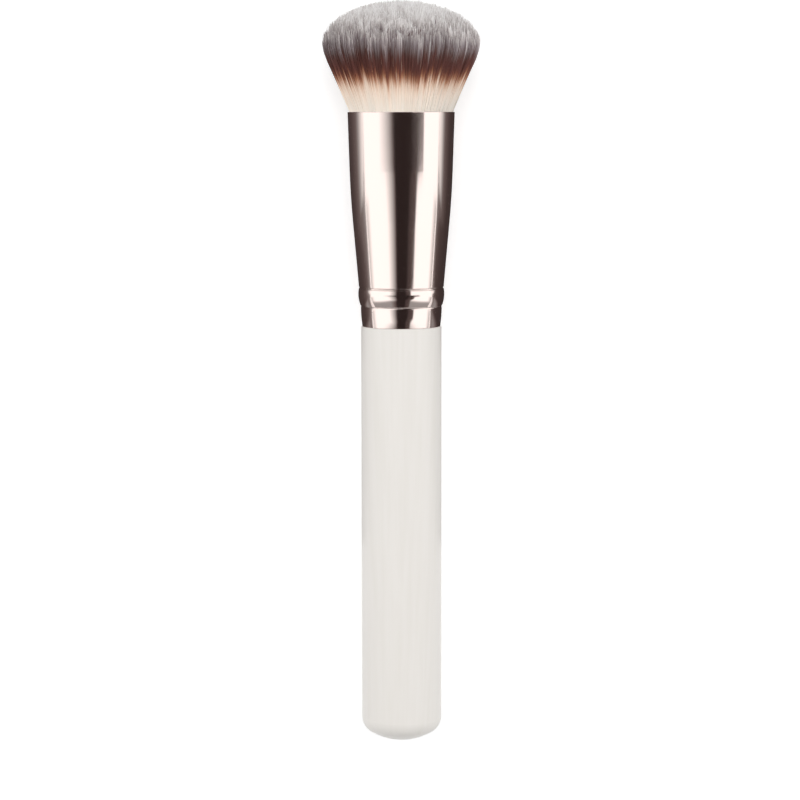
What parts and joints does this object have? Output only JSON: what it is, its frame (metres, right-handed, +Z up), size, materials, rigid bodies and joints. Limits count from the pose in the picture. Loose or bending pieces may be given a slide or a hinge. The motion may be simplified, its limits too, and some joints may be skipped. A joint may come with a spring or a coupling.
{
  "type": "buffing brush",
  "caption": "Round makeup buffing brush with a dense flared, domed fibre head, a tapering metal ferrule and a straight round handle with a domed end.",
  "frame": {"origin": "on the floor under the middle of the brush's length, as the brush lies at rest", "axes": "+Y towards the bristle head along the brush's length, seen from above; +X across; +Z up. The brush's own axis rises 2.94 degrees towards the head"},
  "size_m": [0.0344, 0.1664, 0.034],
  "materials": {
    "lacquer": "high-gloss ivory lacquer over turned hardwood",
    "ferrule_metal": "mirror-polished, rose-brown anodised",
    "fibres": "fine synthetic fibre, cream at the roots, dark brown band, silver-grey tips",
    "resin": "clear amber cured epoxy",
    "glue": "clear amber cured adhesive"
  },
  "bodies": {
    "root": {"handle": "lacquer", "ferrule": "ferrule_metal", "bristles": "fibres", "root_plug": "resin", "tenon_glue": "glue"}
  },
  "joints": []
}
